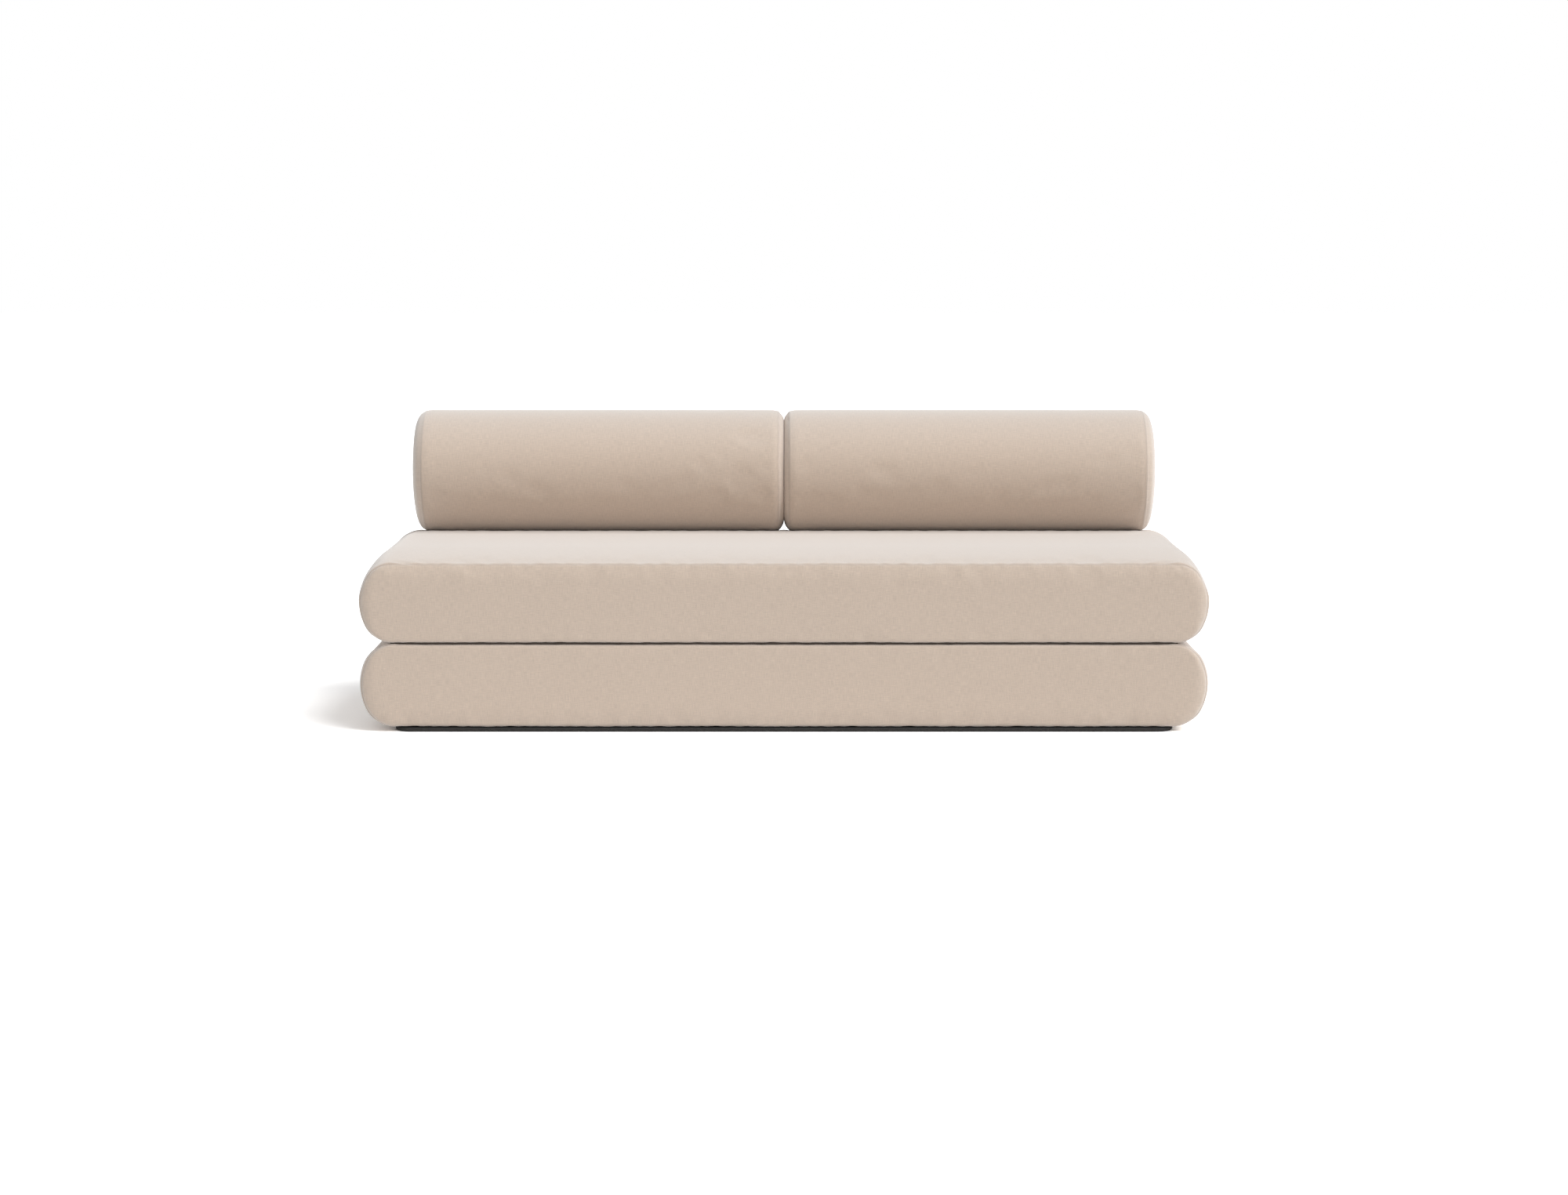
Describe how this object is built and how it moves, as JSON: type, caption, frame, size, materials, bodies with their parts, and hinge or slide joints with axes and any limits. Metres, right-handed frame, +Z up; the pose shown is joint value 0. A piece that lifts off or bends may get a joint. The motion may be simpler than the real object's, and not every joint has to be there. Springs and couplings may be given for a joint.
{
  "type": "fold-out sofa bed",
  "caption": "Low sofa of stacked foam mattresses with rounded ends and round bolsters as its back; the upper mattress folds forward to make a bed.",
  "frame": {"origin": "on the floor, under the middle of the whole sofa", "axes": "+Z up, +X along the bed's length, +Y towards the back of the sofa"},
  "size_m": [2, 0.8018, 0.7176],
  "materials": {
    "linen": "beige linen-look weave with fine slubs",
    "hinge_fabric": "brown woven tape",
    "fibre": "white polyester wadding",
    "foam": "open-cell foam, off-white",
    "comfort_foam": "soft open-cell foam, pale blue",
    "base": "matt dark non-slip pad",
    "zip_tape": "woven tape",
    "zip_coil": "nylon coil",
    "zip_metal": "satin nickel",
    "grip": "hook and loop pile"
  },
  "bodies": {
    "lower_mattress": {"hinge_welt": "hinge_fabric", "lower_back_pad": "fibre", "lower_back_panel": "linen", "lower_comfort_foam": "comfort_foam", "lower_fibre_sleeve": "fibre", "lower_foam_core": "foam", "lower_front_pad": "fibre", "lower_front_panel": "linen", "lower_hinge_leaf": "hinge_fabric", "lower_wrap_cover": "linen", "lower_zip_coil": "zip_coil", "lower_zip_stops": "zip_metal", "lower_zip_tape": "zip_tape", "non_slip_base": "base"},
    "upper_mattress": {"seat_grip_strips": "grip", "upper_back_pad": "fibre", "upper_back_panel": "linen", "upper_comfort_foam": "comfort_foam", "upper_fibre_sleeve": "fibre", "upper_foam_core": "foam", "upper_front_pad": "fibre", "upper_front_panel": "linen", "upper_hinge_leaf": "hinge_fabric", "upper_wrap_cover": "linen", "upper_zip_coil": "zip_coil", "upper_zip_stops": "zip_metal", "upper_zip_tape": "zip_tape"},
    "left_bolster": {"left_bolster_fibre_sleeve": "fibre", "left_bolster_foam_core": "foam", "left_bolster_grip_strip": "grip", "left_bolster_inner_cap": "linen", "left_bolster_outer_cap": "linen", "left_bolster_tube_cover": "linen", "left_bolster_zip_coil": "zip_coil", "left_bolster_zip_stops": "zip_metal", "left_bolster_zip_tape": "zip_tape"},
    "right_bolster": {"right_bolster_fibre_sleeve": "fibre", "right_bolster_foam_core": "foam", "right_bolster_grip_strip": "grip", "right_bolster_inner_cap": "linen", "right_bolster_outer_cap": "linen", "right_bolster_tube_cover": "linen", "right_bolster_zip_coil": "zip_coil", "right_bolster_zip_stops": "zip_metal", "right_bolster_zip_tape": "zip_tape"},
    "left_bolster_zip_pull_body": {"left_bolster_zip_pull": "zip_metal"},
    "left_bolster_zip_slider_body": {"left_bolster_zip_slider": "zip_metal"},
    "lower_zip_pull_body": {"lower_zip_pull": "zip_metal"},
    "lower_zip_slider_body": {"lower_zip_slider": "zip_metal"},
    "right_bolster_zip_pull_body": {"right_bolster_zip_pull": "zip_metal"},
    "right_bolster_zip_slider_body": {"right_bolster_zip_slider": "zip_metal"},
    "upper_zip_pull_body": {"upper_zip_pull": "zip_metal"},
    "upper_zip_slider_body": {"upper_zip_slider": "zip_metal"}
  },
  "joints": [
    {"name": "fold", "type": "hinge", "parent": "lower_mattress", "child": "upper_mattress", "pos_m": [0, -0.39945, 0.2103], "axis": [1, 0, 0], "range_deg": [0, 180]},
    {"name": "left_bolster_carry", "type": "hinge", "parent": "upper_mattress", "child": "left_bolster", "pos_m": [0, 0.25095, 0.3136], "axis": [1, 0, 0], "range_deg": [-180, 0]},
    {"name": "right_bolster_carry", "type": "hinge", "parent": "upper_mattress", "child": "right_bolster", "pos_m": [0, 0.25095, 0.3136], "axis": [1, 0, 0], "range_deg": [-180, 0]},
    {"name": "lower_zip_run", "type": "slide", "parent": "lower_mattress", "child": "lower_zip_slider_body", "axis": [-1, 0, 0], "range_m": [0, 1.4796]},
    {"name": "lower_zip_pull_turn", "type": "hinge", "parent": "lower_zip_slider_body", "child": "lower_zip_pull_body", "pos_m": [0.7398, 0.30465, 0.1035], "axis": [0, 0, -1], "range_deg": [0, 180]},
    {"name": "upper_zip_run", "type": "slide", "parent": "upper_mattress", "child": "upper_zip_slider_body", "axis": [-1, 0, 0], "range_m": [0, 1.4796]},
    {"name": "upper_zip_pull_turn", "type": "hinge", "parent": "upper_zip_slider_body", "child": "upper_zip_pull_body", "pos_m": [0.7398, 0.30465, 0.3136], "axis": [0, 0, -1], "range_deg": [0, 180]},
    {"name": "left_bolster_zip_run", "type": "slide", "parent": "left_bolster", "child": "left_bolster_zip_slider_body", "axis": [1, 0, 0], "range_m": [0, 0.6196]},
    {"name": "left_bolster_zip_pull_turn", "type": "hinge", "parent": "left_bolster_zip_slider_body", "child": "left_bolster_zip_pull_body", "pos_m": [-0.7681, 0.37685, 0.47946], "axis": [0, 0.5736, 0.8192], "range_deg": [0, 180]},
    {"name": "right_bolster_zip_run", "type": "slide", "parent": "right_bolster", "child": "right_bolster_zip_slider_body", "axis": [-1, 0, 0], "range_m": [0, 0.6196]},
    {"name": "right_bolster_zip_pull_turn", "type": "hinge", "parent": "right_bolster_zip_slider_body", "child": "right_bolster_zip_pull_body", "pos_m": [0.7681, 0.37685, 0.47946], "axis": [0, -0.5736, -0.8192], "range_deg": [0, 180]}
  ],
  "couplings": [
    {"joint": "left_bolster_carry", "follows": "fold", "ratio": -1},
    {"joint": "right_bolster_carry", "follows": "fold", "ratio": -1}
  ]
}
